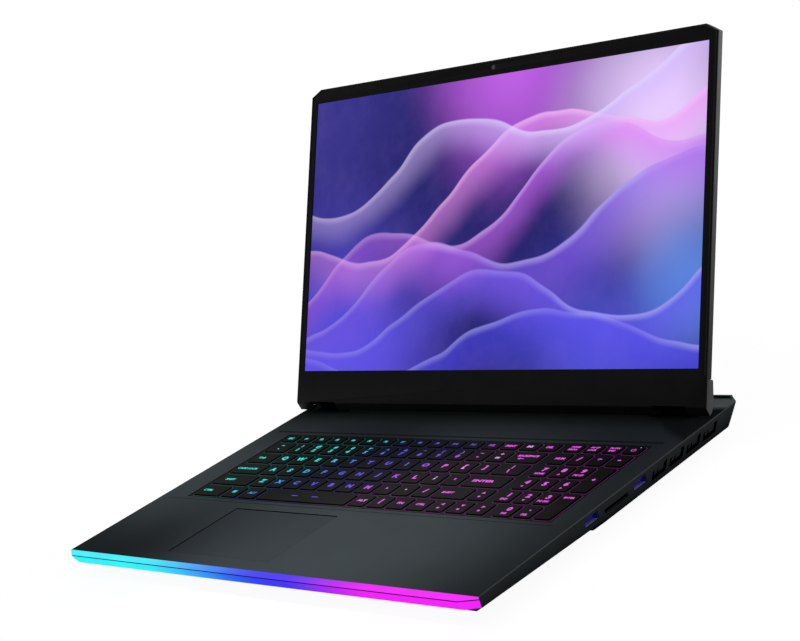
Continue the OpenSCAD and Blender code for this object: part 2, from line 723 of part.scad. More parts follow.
module network_port() color("#6f7377") framed() difference() {
    network_hole(0, port_back, bay_y - 0.3);
    block([network_x - 5.9, port_back + 1, bay_low + 1], [network_x + 5.9, bay_y + 1, bay_high - 1.4]);
}

module video_holes(play, front, rear) {
    block([video_x - 7.5 - play, front, rear_port_z - 2.8 - play], [video_x + 7.5 + play, rear, rear_port_z + 2.8 + play]);
    block([mini_video_x - 4.2 - play, front, rear_port_z - 2.6 - play],
          [mini_video_x + 4.2 + play, rear, rear_port_z + 2.6 + play]);
}

module video_ports() color("#7b7f83") framed() {
    difference() {
        video_holes(0, port_back, bay_y - 0.3);
        for (p = [[video_x, 7.5, 2.8], [mini_video_x, 4.2, 2.6]])
            block([p[0] - p[1] + shell_t, port_back + 1, rear_port_z - p[2] + shell_t],
                  [p[0] + p[1] - shell_t, bay_y + 1, rear_port_z + p[2] - shell_t]);
    }
    block([video_x - 5.6, port_back + 0.5, rear_port_z + 0.2], [video_x + 5.6, bay_y - 1, rear_port_z + 1.2]);
    block([mini_video_x - 2.6, port_back + 0.5, rear_port_z - 0.3], [mini_video_x + 2.6, bay_y - 1, rear_port_z + 0.5]);
}

module power_inlet() color("#17181a") framed() translate([inlet_x, 0, rear_port_z]) rotate([-90, 0, 0]) {
    difference() {
        union() {
            translate([-5, -4, port_back]) cube([10, 8, bay_y - 2 * wall - port_back]);
            translate([0, 0, bay_y - 2 * wall - 1]) cylinder(r = inlet_r + 0.8, h = 2 * wall + 0.6, $fn = round_fn);
        }
        translate([0, 0, bay_y - 0.4 - inlet_len]) cylinder(r = inlet_r, h = inlet_len + 1, $fn = round_fn);
    }
    translate([0, 0, bay_y - 0.6 - inlet_len]) cylinder(r = 1.05, h = inlet_len - 1, $fn = small_fn);
}

// ---- hinges ----

module hinge_bracket() {
    translate([0, hinge_y, axis_z]) difference() {
        union() {
            x_cylinder(barrel_r, barrel_x[0], barrel_x[1]);
            block([barrel_x[0], 1.7, deck_under - 1.7 - axis_z], [barrel_x[1], 3.2, 0]);
        }
        x_cylinder(pin_r + pin_play, barrel_x[0] - 1, barrel_x[1] + 1);
    }
    block([150, hinge_y - 13, deck_under - 1.7], [188, hinge_y + 12, deck_under]);
    block([146, hinge_y - 1.5, deck_h], [185, hinge_y + 10, deck_h + 0.3]);
}

module hinge_bracket_right() color("#2b2d2f") framed() hinge_bracket();

module hinge_bracket_left() color("#2b2d2f") framed() mirror([1, 0, 0]) hinge_bracket();

// Puts a shape drawn in the lid's own frame where the lid stands
module on_lid() framed() translate([0, hinge_y, axis_z]) rotate([lid_lean, 0, 0])
    translate([0, -axis_up, -axis_back]) children();

module on_axis() translate([0, axis_up, axis_back]) children();

module hinge_arms() color("#3a3d40") on_lid() both_sides() {
    difference() {
        union() {
            block([142, -21.5, -2.9], [193, -9.5, -1.6]);
            for (x = [knuckle_x[0], notch_x[1] + 0.1]) {
                on_axis() x_cylinder(knuckle_r, x, x + knuckle_w);
                block([x, axis_up - 1.9, axis_back + 1], [x + knuckle_w, -20, -1.6]);
            }
        }
        on_axis() x_cylinder(pin_r, knuckle_x[0] + 1, notch_x[1] + knuckle_w - 0.9);
    }
}

module hinge_pins() color("#b9bcbf") on_lid() both_sides()
    on_axis() x_cylinder(pin_r, knuckle_x[0] + 1, notch_x[1] + knuckle_w - 0.9);

module hinge_cover_profile() polygon([[cover_top, bezel_back], [chin_low, bezel_back], [chin_low, bezel_z - 0.2],
    [-30.5, -4.5], [-27.5, -6.6], [-24, -7.9], [-20, -7.8], [-8, -6.7], [cover_top, lid_back - 0.1]]);

module hinge_cover_hollow() polygon([[cover_top + 1, bezel_back + 1], [-24.6, bezel_back + 1], [-24.6, -1.0], [-28.6, -4.7],
    [-26.8, -5.6], [-23.8, -6.8], [-20, -6.7], [-8.6, -5.6], [cover_top + 1, -5.2]]);

module hinge_cover() color("#3c4042") on_lid() difference() {
    along_x(lid_w) hinge_cover_profile();
    along_x(lid_w - 2 * lid_wall) hinge_cover_hollow();
    both_sides() {
        block([notch_x[0], -40, -20], [notch_x[1], axis_up - 1.1, 5]);
        on_axis() x_cylinder(barrel_r + 0.6, notch_x[0], notch_x[1]);
        for (x = [knuckle_x[0] - 0.2, notch_x[1]]) {
            on_axis() x_cylinder(knuckle_r + 0.1, x, x + knuckle_w + 0.3);
        }
    }
}

// ---- lid ----

module lid_outline(inset) polygon([[inset - lid_w / 2, cover_top + lid_gap], [lid_w / 2 - inset, cover_top + lid_gap],
    [lid_w / 2 - inset, lid_top - lid_corner[1] - inset * 0.4], [lid_w / 2 - lid_corner[0] - inset * 0.4, lid_top - inset],
    [lid_corner[0] + inset * 0.4 - lid_w / 2, lid_top - inset], [inset - lid_w / 2, lid_top - lid_corner[1] - inset * 0.4]]);

module lid_cover() color("#3c4042") on_lid() difference() {
    intersection() {
        translate([0, 0, lid_back]) linear_extrude(height = bezel_back - 0.05 - lid_back) lid_outline(0);
        along_x(lid_w) polygon([[-10, bezel_z], [lid_top, bezel_z], [lid_top, lid_back + 1.5], [lid_top - 1.5, lid_back],
                                [-10, lid_back]]);
        along_y(-10, lid_top) polygon([[-lid_w / 2, bezel_z], [lid_w / 2, bezel_z],
            [lid_w / 2, lid_back + lid_side_chamfer], [lid_w / 2 - lid_side_chamfer, lid_back],
            [lid_side_chamfer - lid_w / 2, lid_back], [-lid_w / 2, lid_back + lid_side_chamfer]]);
    }
    translate([0, -lid_gap, lid_back + lid_wall]) linear_extrude(height = 10) lid_outline(lid_wall);
}

module screen_bezel() color("#161616") on_lid() difference() {
    translate([0, 0, bezel_back]) linear_extrude(height = bezel_z - bezel_back) difference() {
        union() {
            translate([0, -lid_gap]) lid_outline(0.1);
            translate([0.1 - lid_w / 2, chin_low + 0.1]) square([lid_w - 0.2, cover_top - chin_low]);
        }
        translate([-screen_w / 2 - 0.15, -0.15]) square([screen_w + 0.3, screen_h + 0.3]);
        for (s = [-1, 1]) translate([s > 0 ? notch_x[0] : -notch_x[1], chin_low - 1])
            square([notch_x[1] - notch_x[0], axis_up - 1.1 - chin_low + 1]);
    }
    translate([0, webcam_up, 0]) cylinder(r = webcam_r + 0.05, h = 5, center = true, $fn = small_fn);
}

module display_panel() color("#55585a") on_lid()
    block([-194.6, -5.6, lid_back + 1.5], [194.6, 218.6, bezel_back - 0.05]);

module screen_glass() color("#4b3fd0") on_lid()
    block([-screen_w / 2, 0, bezel_back - 0.05], [screen_w / 2, screen_h, 0]);

module webcam() color("#0c0c0e") on_lid() translate([0, webcam_up, 0]) {
    block([-16, 0.2 - 0.1, -1.9], [16, 3.6, bezel_back - 0.05]);
    translate([0, 0, -1.2]) cylinder(r = webcam_r, h = bezel_z + 1.15, $fn = small_fn);
}

module lid_gasket() color("#0a0a0a") on_lid() translate([0, 0, bezel_z]) linear_extrude(height = gasket_h) difference() {
    lid_outline(gasket_in);
    lid_outline(gasket_in + gasket_w);
    translate([-lid_w / 2, cover_top - 1]) square([lid_w, gasket_in + gasket_w + 2]);
}

// ---- key groups ----

module power_key() keys("power_key");
module escape_key() keys("escape_key");
module function_keys() keys("function_keys");
module number_keys() keys("number_keys");
module backspace_key() keys("backspace_key");
module letter_keys() keys("letter_keys");
module side_keys() keys("side_keys");
module enter_key() keys("enter_key");
module shift_keys() keys("shift_keys");
module modifier_keys() keys("modifier_keys");
module space_bar() keys("space_bar");
module arrow_keys() keys("arrow_keys");
module pad_keys() keys("pad_keys");
module pad_plus_key() keys("pad_plus_key");
module pad_enter_key() keys("pad_enter_key");

top_case();
bottom_cover();
rubber_feet();
cover_screws();
light_bar_upper();
light_bar_lower();
light_bar_seam();
rear_grilles();
keyboard_frame();
keyboard_plate();
touchpad_bracket();
touchpad();
motherboard();
processors();
memory_modules();
solid_state_drive();
wireless_card();
cold_plate();
heat_pipes();
heatsink_left();
heatsink_right();
fan_housing_left();
fan_housing_right();
fan_rotor_left();
fan_rotor_right();
battery_pack();
speakers();
usb_ports();
memory_card_slot();
usb_c_port();
audio_jack();
network_port();
video_ports();
power_inlet();
hinge_bracket_left();
hinge_bracket_right();
hinge_arms();
hinge_pins();
hinge_cover();
lid_cover();
screen_bezel();
display_panel();
screen_glass();
webcam();
lid_gasket();
power_key();
escape_key();
function_keys();
number_keys();
backspace_key();
letter_keys();
side_keys();
enter_key();
shift_keys();
modifier_keys();
space_bar();
arrow_keys();
pad_keys();
pad_plus_key();
pad_enter_key();
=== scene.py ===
"""Looks of the open laptop computer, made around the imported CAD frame.

Everything is in metres: +X to the user's right, +Y to the rear, +Z up.
"""

import json
import math
import bmesh
import bpy
from mathutils import Matrix, Vector


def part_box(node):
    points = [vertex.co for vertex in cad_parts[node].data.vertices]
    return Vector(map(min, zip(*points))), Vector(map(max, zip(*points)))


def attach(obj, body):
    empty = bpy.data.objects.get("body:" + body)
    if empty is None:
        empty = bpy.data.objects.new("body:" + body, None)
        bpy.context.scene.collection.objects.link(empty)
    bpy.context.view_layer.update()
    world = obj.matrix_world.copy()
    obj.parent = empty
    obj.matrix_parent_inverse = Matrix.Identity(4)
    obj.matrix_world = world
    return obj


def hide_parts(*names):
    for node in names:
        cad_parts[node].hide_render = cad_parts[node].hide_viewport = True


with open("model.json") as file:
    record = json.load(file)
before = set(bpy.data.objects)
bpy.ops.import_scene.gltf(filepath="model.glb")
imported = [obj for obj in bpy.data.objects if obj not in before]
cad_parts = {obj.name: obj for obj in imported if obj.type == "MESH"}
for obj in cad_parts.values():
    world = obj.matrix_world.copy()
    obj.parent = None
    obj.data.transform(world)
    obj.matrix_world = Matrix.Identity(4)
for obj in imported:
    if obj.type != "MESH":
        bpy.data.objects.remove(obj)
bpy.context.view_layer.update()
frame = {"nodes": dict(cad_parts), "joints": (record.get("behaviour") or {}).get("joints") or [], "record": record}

MM = 0.001
NODES = frame["nodes"]
RECORD = frame["record"]
LID_JOINT = next(j for j in frame["joints"] if j["name"] == "lid_hinge")
BODY = {n: body for body, nodes in RECORD["behaviour"]["bodies"].items() for n in nodes}
SLOT = {part["node"]: part["material_slot"] for part in RECORD["subparts"]}

LID_LEAN = math.radians(180 - 117.2)  # the open lid against the horizontal
LID_UP = Vector((0, math.cos(LID_LEAN), math.sin(LID_LEAN)))
LID_OUT = Vector((0, -math.sin(LID_LEAN), math.cos(LID_LEAN)))  # towards the user

scene = bpy.context.scene
scene.view_settings.view_transform = "Standard"


# ---- shader nodes ----------------------------------------------------------


def feed(tree, socket, value):
    """Links an output to the socket, or sets the socket's own value."""
    if isinstance(value, bpy.types.NodeSocket):
        tree.links.new(value, socket)
    else:
        socket.default_value = value


def add_node(tree, kind, inputs, output=0, **settings):
    """Adds a node, feeds its inputs and returns one of its outputs."""
    made = tree.nodes.new(kind)
    for key, value in settings.items():
        setattr(made, key, value)
    for key, value in inputs.items():
        feed(tree, made.inputs[key], value)
    return made.outputs[output]


class Shader:
    """A procedural material. Each call adds nodes and returns an output socket."""

    def __init__(self, name, **constants):
        self.material = bpy.data.materials.new(name)
        self.material.use_nodes = True
        self.tree = self.material.node_tree
        self.surface = self.tree.nodes["Principled BSDF"]
        for socket, value in constants.items():
            self.surface.inputs[socket.replace("_", " ")].default_value = value

    def node(self, kind, inputs, output=0, **settings):
        return add_node(self.tree, kind, inputs, output, **settings)

    def drive(self, socket, value):
        """Feeds one of the surface's own inputs."""
        feed(self.tree, self.surface.inputs[socket], value)

    def place(self):
        return self.node("ShaderNodeTexCoord", {}, "Object")

    def axes(self):
        """X, Y and Z of the place, as three sockets."""
        return self.node("ShaderNodeSeparateXYZ", {0: self.place()}).node.outputs

    def maths(self, operation, a, b=0.0, clamp=False):
        return self.node(
            "ShaderNodeMath", {0: a, 1: b}, operation=operation, use_clamp=clamp
        )

    def noise(self, scale, detail=2.0, roughness=0.5):
        inputs = {"Scale": scale, "Detail": detail, "Roughness": roughness}
        inputs["Vector"] = self.place()
        return self.node("ShaderNodeTexNoise", inputs)

    def spread(self, value, low, high, start=0.3, end=0.7, smooth=False):
        """Value from start..end to low..high."""
        inputs = {0: value, 1: start, 2: end, 3: low, 4: high}
        kind = "SMOOTHSTEP" if smooth else "LINEAR"
        return self.node("ShaderNodeMapRange", inputs, interpolation_type=kind)

    def mix(self, factor, a, b):
        """Colour a where the factor is 0, and b where it is 1."""
        inputs = {"Factor": factor, 6: a, 7: b}
        return self.node("ShaderNodeMix", inputs, 2, data_type="RGBA")

    def ramp(self, value, stops):
        """Colours at places 0..1."""
        made = self.node("ShaderNodeValToRGB", {0: value})
        band = made.node.color_ramp
        while len(band.elements) < len(stops):
            band.elements.new(0.5)
        for element, (place, colour) in zip(band.elements, stops):
            element.position = place
            element.color = (*colour, 1)
        return made

    def bump(self, height, distance):
        inputs = {"Height": height, "Distance": distance, "Strength": 1.0}
        return self.node("ShaderNodeBump", inputs)

    def worn(self, colour, mottle):
        """The colour, a little lighter and darker in patches and grains."""
        cloud = self.noise(35.0, 4.0, 0.55)
        fine = self.noise(900.0, 2.0, 0.6)
        dark = (*(c * (1 - mottle) for c in colour), 1)
        light = (*(c * (1 + mottle) for c in colour), 1)
        tone = self.spread(cloud, 0.0, 1.0)
        tone = self.maths("ADD", tone, self.spread(fine, -0.3, 0.3), clamp=True)
        return self.mix(tone, dark, light)

    def wander_gloss(self, roughness, wander):
        """Roughness that wanders to both sides of the given one."""
        gloss = self.noise(60.0, 3.0, 0.6)
        low, high = roughness - wander, roughness + wander
        self.drive("Roughness", self.spread(gloss, low, high))

    def roughen(self, per_metre, height):
        """A fine grain: grains per metre, and their height in metres."""
        self.drive("Normal", self.bump(self.noise(per_metre, 3.0, 0.6), height))


# ---- materials -------------------------------------------------------------

CASE_GRAIN = (2600, 8e-6)
LID_GRAIN = (2600, 12e-6)
LID_TINT = (0.78, 0.78, 0.78, 1)
SHADE = (0.001, 0.0012, 0.0013, 1)  # the painted shade's colour, where least light reaches the casing

# Where the metal's gloss, painted shade and painted highlight change with place, each from and to in metres
SHELF_START = (0.079, 0.085)  # Y, from the deck's paint to the shelf's gloss
LID_SHADE = (0.043, 0.066)  # Y, from the open deck to the painted shade of the lid
CORNER_LEAN = (0.567, 0.824)  # across the painted shade's edge by the right hinge
CORNER_SHADE = (0.133, 0.142)  # along that direction
SIDE_FOOT = (0.009, 0.017)  # Z, from the painted shade at the side's foot to its full tone
RIM_HEIGHT = (0.045, 0.215)  # Z, from the rim's painted shade at its foot to its painted highlight at the top


def finish(name, colour, roughness, grain=None, mottle=0.08, wander=0.05, **constants):
    """A surface whose colour and gloss wander a little, with a fine grain.

    grain is (grains per metre, their height in metres).
    """
    shader = Shader(name, **constants)
    shader.drive("Base Color", shader.worn(colour, mottle))
    shader.wander_gloss(roughness, wander)
    if grain:
        shader.roughen(*grain)
    return shader.material


def case_paint_and_shade(name, colour):
    """The deck's painted metal: glossier on the shelf behind the lid, and darkened by painted shade
    in front of the hinges, where the lid keeps most light away."""
    shader = Shader(name, Specular_IOR_Level=0.0, Specular_Tint=(0.60, 0.60, 0.60, 1))
    x, y = shader.axes()[:2]
    shelf = shader.spread(y, 0.0, 1.0, *SHELF_START)
    # painted shade under the open lid
    lid_shadow = shader.spread(y, 1.0, 0.38, *LID_SHADE, smooth=True)
    leaning = shader.maths(
        "ADD",
        shader.maths("MULTIPLY", x, CORNER_LEAN[0]),
        shader.maths("MULTIPLY", y, CORNER_LEAN[1]),
    )
    # painted shade by the right hinge
    corner = shader.spread(leaning, 1.0, 0.36, *CORNER_SHADE, smooth=True)
    # unshaded: 1 for the paint's own colour, less where painted shade darkens it; the shelf is never shaded
    unshaded = shader.maths("MAXIMUM", shelf, shader.maths("MINIMUM", lid_shadow, corner))
    shader.drive("Base Color", shader.mix(unshaded, SHADE, shader.worn(colour, 0.04)))
    shader.drive("Metallic", shelf)
    shader.wander_gloss(0.40, 0.04)
    shader.roughen(*CASE_GRAIN)
    return shader.material


def side_paint_and_shade(name, colour):
    """The casing's upright sides, with painted shade that darkens them towards their foot."""
    shader = Shader(name, Specular_IOR_Level=0.0, Roughness=0.5)
    # painted shade, darker towards the side's foot
    unshaded = shader.spread(shader.axes()[2], 0.45, 1.0, *SIDE_FOOT)
    shader.drive("Base Color", shader.mix(unshaded, SHADE, shader.worn(colour, 0.06)))
    shader.roughen(*CASE_GRAIN)
    return shader.material


def rim_painted_light(name):
    """The metal of the lid's rim, with painted shade at its foot and a painted highlight that lightens it towards
    the top.
    """
    shader = Shader(name, Metallic=1.0, Specular_Tint=LID_TINT)
    height = shader.spread(shader.axes()[2], 0.0, 1.0, *RIM_HEIGHT)
    # painted shade at the rim's foot, painted highlight at its top
    low = shader.worn((0.022, 0.0225, 0.023), 0.08)
    high = shader.worn((0.108, 0.110, 0.111), 0.08)
    shader.drive("Base Color", shader.mix(height, low, high))
    shader.wander_gloss(0.42, 0.05)
    shader.roughen(*LID_GRAIN)
    return shader.material


BLACK = (0, 0, 0, 1)
UNLIT = (0.002, 0.002, 0.003, 1)  # the diffuser and the screen without their light

# Colours of the key lighting, each at its place in millimetres along X where Y is
# GLOW_ZERO_Y. Each lies to the right of it further back, by GLOW_LEAN of the way.
GLOW_LEAN = 0.8
GLOW_ZERO_Y = -0.0367
GLOW_SPAN = (-0.12, 0.08)
GLOW = [
    (-110, (0.03, 0.80, 0.70)),
    (-96, (0.03, 0.55, 0.85)),
    (-84, (0.05, 0.28, 0.92)),
    (-62, (0.08, 0.09, 0.85)),
    (-10, (0.16, 0.08, 0.85)),
    (4, (0.42, 0.08, 0.82)),
    (16, (0.85, 0.09, 0.82)),
    (34, (0.86, 0.12, 0.84)),
    (39, (0.85, 0.38, 0.90)),
    (44, (0.85, 0.38, 0.90)),
    (50, (0.86, 0.10, 0.84)),
]
# Colours of the light bar, each at its place in millimetres along X
BAR_SPAN = (-0.2, 0.2)
BAR = [
    (-110, (0.04, 0.93, 1.00)),
    (-80, (0.05, 0.65, 0.95)),
    (-50, (0.05, 0.38, 1.00)),
    (-20, (0.03, 0.17, 0.92)),
    (10, (0.04, 0.06, 0.95)),
    (40, (0.07, 0.04, 1.00)),
    (55, (0.15, 0.04, 0.92)),
    (70, (0.33, 0.03, 0.96)),
    (100, (0.75, 0.02, 0.97)),
    (115, (0.93, 0.02, 0.98)),
]


def colours_along(shader, distance, table, span):
    """The table's colours against a distance; both ends of the span in metres."""
    start, end = span
    stops = [((x * MM - start) / (end - start), colour) for x, colour in table]
    return shader.ramp(shader.spread(distance, 0, 1, start, end), stops)


def glow(name, strength):
    """Lettering, and the painted glow round the keys, lit in the keyboard's colours."""
    shader = Shader(
        name,
        Roughness=0.5,
        Base_Color=(0.02, 0.02, 0.02, 1),
        Emission_Strength=strength,
        Specular_IOR_Level=0.0,
    )
    x, y = shader.axes()[:2]
    along = shader.maths("SUBTRACT", y, GLOW_ZERO_Y)
    along = shader.maths("MULTIPLY", along, -GLOW_LEAN)
    along = shader.maths("ADD", along, x)
    colour = colours_along(shader, along, GLOW, GLOW_SPAN)
    patch = shader.spread(shader.noise(450.0), 0.75, 1.0)
    shader.drive("Emission Color", shader.mix(patch, BLACK, colour))
    return shader.material


def light_bar(name, pale):
    """The bar's diffuser. pale brings its colours towards a light pink, as on the
    upper face."""
    shader = Shader(
        name,
        Roughness=0.35,
        Base_Color=UNLIT,
        Emission_Strength=1.0,
        Specular_IOR_Level=0.0,
    )
    colour = colours_along(shader, shader.axes()[0], BAR, BAR_SPAN)
    colour = shader.mix(pale, colour, (1, 0.35, 1, 1))
    uneven = shader.spread(shader.noise(70.0), 0.92, 1.0)
    shader.drive("Emission Color", shader.mix(uneven, BLACK, colour))
    return shader.material


def bar_edge(name):
    """The light bar's dark seam, with a faint painted glow in the bar's colours where its light falls."""
    # the seam's emission is a painted glow of the bar's light
    shader = Shader(name, Roughness=0.5, Emission_Strength=0.05, Specular_IOR_Level=0.0)
    colour = colours_along(shader, shader.axes()[0], BAR, BAR_SPAN)
    shader.drive("Emission Color", colour)
    dark, light = (0.004, 0.005, 0.008, 1), (0.01, 0.01, 0.02, 1)
    shader.drive("Base Color", shader.mix(shader.noise(900.0), dark, light))
    return shader.material


# Soft patches of colour on the screen: X, height, radius, strength, colour
PATCHES = [
    (-0.19, 0.21, 0.16, 0.6, (0.050, 0.040, 0.33)),
    (-0.15, 0.00, 0.17, 0.9, (0.110, 0.080, 0.80)),
    (-0.05, 0.09, 0.09, 0.7, (0.020, 0.016, 0.17)),
    (0.02, 0.22, 0.12, 0.9, (0.560, 0.120, 0.84)),
    (0.11, 0.00, 0.13, 0.8, (0.085, 0.090, 0.66)),
    (0.15, 0.17, 0.12, 1.0, (0.800, 0.600, 1.00)),
    (0.19, 0.06, 0.07, 0.7, (0.120, 0.300, 0.90)),
]
# Bands of light on the screen: height at the middle, rise to the right, height of
# the wave, waves across, phase, thickness, colour
RIBBONS = [
    (0.020, 0.05, 0.020, 9, 0.4, 0.070, (0.07, 0.06, 0.80)),
    (0.052, 0.10, 0.024, 11, 1.9, 0.055, (0.12, 0.09, 0.85)),
    (0.088, 0.22, 0.022, 13, 3.4, 0.060, (0.22, 0.10, 0.85)),
    (0.120, 0.30, 0.018, 15, 5.2, 0.045, (0.52, 0.13, 0.86)),
    (0.145, 0.34, 0.024, 12, 0.9, 0.040, (0.85, 0.30, 0.92)),
    (0.172, 0.20, 0.020, 14, 2.6, 0.034, (0.66, 0.50, 1.00)),
]


def picture(name):
    """The lit screen: a generic picture of flowing bands of light."""
    shader = Shader(
        name,
        Roughness=0.42,
        Base_Color=UNLIT,
        Emission_Strength=1.0,
        Specular_IOR_Level=0.06,
    )
    inputs = {0: shader.place(), 1: tuple(LID_UP)}
    height = shader.node("ShaderNodeVectorMath", inputs, 1, operation="DOT_PRODUCT")
    height = shader.maths("SUBTRACT", height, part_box("screen_glass")[0].dot(LID_UP))
    across = shader.axes()[0]
    drift = shader.spread(shader.noise(9.0), -0.012, 0.012, 0.2, 0.8)

    spot = shader.node("ShaderNodeCombineXYZ", {0: across, 1: height})
    colour = (0.012, 0.010, 0.135, 1)
    for x, rise, radius, strength, tint in PATCHES:
        inputs = {0: spot, 1: (x, rise, 0)}
        away = shader.node("ShaderNodeVectorMath", inputs, 1, operation="DISTANCE")
        away = shader.maths("ADD", away, drift)
        near = shader.spread(away, strength, 0.0, 0.0, radius, smooth=True)
        colour = shader.mix(near, colour, (*tint, 1))
    for middle, rise, swing, waves, phase, thick, tint in RIBBONS:
        angle = shader.maths("MULTIPLY", across, waves * 2)
        wave = shader.maths("SINE", shader.maths("ADD", angle, phase))
        edge = shader.maths("MULTIPLY", wave, swing)
        edge = shader.maths("ADD", edge, shader.maths("MULTIPLY", across, rise))
        edge = shader.maths("ADD", edge, drift)
        below = shader.maths("SUBTRACT", shader.maths("ADD", edge, middle), height)
        inside = shader.spread(below, 0.0, 1.0, -0.0006, 0.0012, smooth=True)
        lit = shader.spread(across, 0.45, 1.0, -0.19, 0.14, smooth=True)
        pale = tuple(0.35 + 0.65 * c for c in tint)
        # the band itself, then the bright line along its upper edge
        for most, depth, paint in ((0.62, thick, tint), (0.6, 0.0070, pale)):
            veil = shader.spread(below, most, 0.0, 0.0, depth, smooth=True)
            veil = shader.maths("MULTIPLY", veil, inside)
            veil = shader.maths("MULTIPLY", veil, lit)
            colour = shader.mix(veil, colour, (*paint, 1))
    haze = shader.spread(shader.noise(30.0, 5.0, 0.65), 0.0, 0.045, 0.45, 0.75)
    colour = shader.mix(haze, colour, (0.45, 0.30, 1.0, 1))
    shader.drive("Emission Color", colour)
    return shader.material


METAL = dict(Metallic=1.0)
DARK_METAL = dict(Metallic=1.0, Specular_Tint=(0.35, 0.35, 0.35, 1))
MATT = dict(Specular_IOR_Level=0.0)
HALF_MATT = dict(Specular_IOR_Level=0.1)

# Materials by name. For a node that keeps its CAD mesh, SURFACES goes by its slot.
LIT = {
    "key_backlight": glow("key_backlight", 0.14),
    "legend": glow("legend", 1.15),
    "bar_upper": light_bar("light_bar_upper", 0.045),
    "bar_lower": light_bar("light_bar_lower", 0.0),
    "bar_edge": bar_edge("light_bar_edge"),
    "display": picture("screen_picture"),
}
SURFACES = {
    "case_metal": case_paint_and_shade("case_metal", (0.0455, 0.0555, 0.0585)),
    "case_side": side_paint_and_shade("case_side", (0.085, 0.098, 0.103)),
    "lid_rim": rim_painted_light("lid_rim"),
}
# name: colour, roughness, grain, the surface's other values, mottle and wander
FINISHES = {
    # a painted highlight along the sides' upper edges
    "case_edge_highlight": ((0.140, 0.150, 0.153), 0.45, CASE_GRAIN, MATT),
    # painted shade on the slopes round the keyboard
    "case_slope_shade": ((0.022, 0.026, 0.028), 0.45, CASE_GRAIN, MATT),
    "inside": ((0.0015, 0.0015, 0.0015), 0.7, (1500, 30e-6), MATT),
    "lid_metal": (
        (0.047, 0.049, 0.0495),
        0.42,
        LID_GRAIN,
        dict(Metallic=1.0, Specular_Tint=LID_TINT),
    ),
    "dark_plastic": ((0.007, 0.008, 0.009), 0.60, (1500, 30e-6), MATT),
    "key_plastic": ((0.0215, 0.0210, 0.0200), 0.58, (1900, 14e-6), MATT),
    "key_well": ((0.019, 0.021, 0.022), 0.5, (2600, 8e-6), MATT),
    "key_side": ((0.004, 0.004, 0.004), 0.6, (1900, 14e-6), MATT),
    "bezel_plastic": (
        (0.0080, 0.0080, 0.0082),
        0.55,
        (1600, 16e-6),
        dict(Specular_IOR_Level=0.04),
    ),
    "touch_glass": ((0.042, 0.050, 0.055), 0.34, (3200, 4e-6), MATT, 0.03),
    "rubber": (
        (0.012, 0.012, 0.012),
        0.85,
        (1100, 60e-6),
        dict(Specular_IOR_Level=0.2),
    ),
    "steel": ((0.42, 0.43, 0.44), 0.32, (900, 6e-6), METAL),
    "dark_steel": ((0.005, 0.005, 0.006), 0.5, (900, 8e-6), MATT),
    "port_metal": ((0.36, 0.37, 0.39), 0.3, (700, 5e-6), METAL),
    "port_blue": ((0.035, 0.025, 0.50), 0.4, (1400, 5e-6), HALF_MATT, 0.06),
    "port_foot": ((0.36, 0.33, 0.78), 0.4, (700, 5e-6), HALF_MATT, 0.06),
    "port_shell": ((0.02, 0.02, 0.05), 0.4, (900, 5e-6), DARK_METAL),
    "port_black": (
        (0.003, 0.003, 0.003),
        0.45,
        (1400, 10e-6),
        dict(Specular_IOR_Level=0.05),
    ),
    "lens": ((0.006, 0.007, 0.012), 0.08, None, {}, 0.2, 0.03),
    "panel_metal": ((0.30, 0.31, 0.32), 0.45, (800, 8e-6), {}),
    "board": ((0.008, 0.045, 0.022), 0.45, (1200, 20e-6), {}, 0.3),
    "chip": ((0.05, 0.052, 0.056), 0.5, (1500, 8e-6), {}),
    "copper": ((0.60, 0.27, 0.14), 0.34, (500, 10e-6), METAL),
    "fin_metal": ((0.05, 0.045, 0.042), 0.4, (500, 8e-6), METAL),
    "battery": ((0.012, 0.012, 0.013), 0.5, (900, 20e-6), {}),
}
for name, (colour, roughness, grain, values, *wear) in FINISHES.items():
    SURFACES[name] = finish(name, colour, roughness, grain, *wear, **values)


# ---- mesh helpers ----------------------------------------------------------

JOIN = 2e-6  # vertices of a node's solids closer than this are one
FLAT = math.radians(0.4)  # faces that turn by less are one plane
SHARP = math.radians(28)  # edges that turn by more are rounded
SMOOTH = math.radians(40)  # faces that turn by less are shaded as one
BEVEL = dict(segments=2, profile=0.6, affect="EDGES")


def new_object(name, mesh, materials, smooth=None):
    """A scene object from a bmesh, shaded smooth across edges that turn by less."""
    data = bpy.data.meshes.new(name)
    mesh.to_mesh(data)
    mesh.free()
    for material in materials:
        data.materials.append(material)
    made = bpy.data.objects.new(name, data)
    scene.collection.objects.link(made)
    if smooth:
        data.shade_smooth()
        data.set_sharp_from_angle(angle=smooth)
    return made


def stands_for(piece, node):
    """The piece takes the node's place and body."""
    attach(piece, BODY[node])
    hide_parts(node)


def belongs_to(piece, body):
    """The piece is extra: it rides a body."""
    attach(piece, body)


def joined(node):
    """The node's solids as a bmesh, with each corner's vertices made one."""
    mesh = bmesh.new()
    mesh.from_mesh(NODES[node].data)
    bmesh.ops.remove_doubles(mesh, verts=mesh.verts, dist=JOIN)
    return mesh


def extent(points):
    """The lowest and highest corner of the points' box."""
    axes = range(len(points[0]))
    low = Vector([min(p[i] for p in points) for i in axes])
    high = Vector([max(p[i] for p in points) for i in axes])
    return low, high


def refine(node, rounding, looks, pick, shortest):
    """Replaces a CAD node with a copy whose sharp edges are rounded.

    pick(centre, normal) gives a face's look, one of the looks.
    """
    mesh = joined(node)
    bmesh.ops.dissolve_limit(mesh, angle_limit=FLAT, verts=mesh.verts, edges=mesh.edges)
    edges = [
        e
        for e in mesh.edges
        if len(e.link_faces) == 2
        and e.calc_face_angle(0) > SHARP
        and e.calc_length() > shortest
    ]
    bmesh.ops.bevel(
        mesh,
        geom=edges,
        offset=rounding,
        offset_type="OFFSET",
        clamp_overlap=False,
        **BEVEL,
    )
    if pick:
        for face in mesh.faces:
            look = pick(face.calc_center_median(), face.normal)
            face.material_index = looks.index(look)
    materials = [LIT.get(look) or SURFACES[look] for look in looks]
    stands_for(new_object(f"{node}_shaped", mesh, materials, SMOOTH), node)


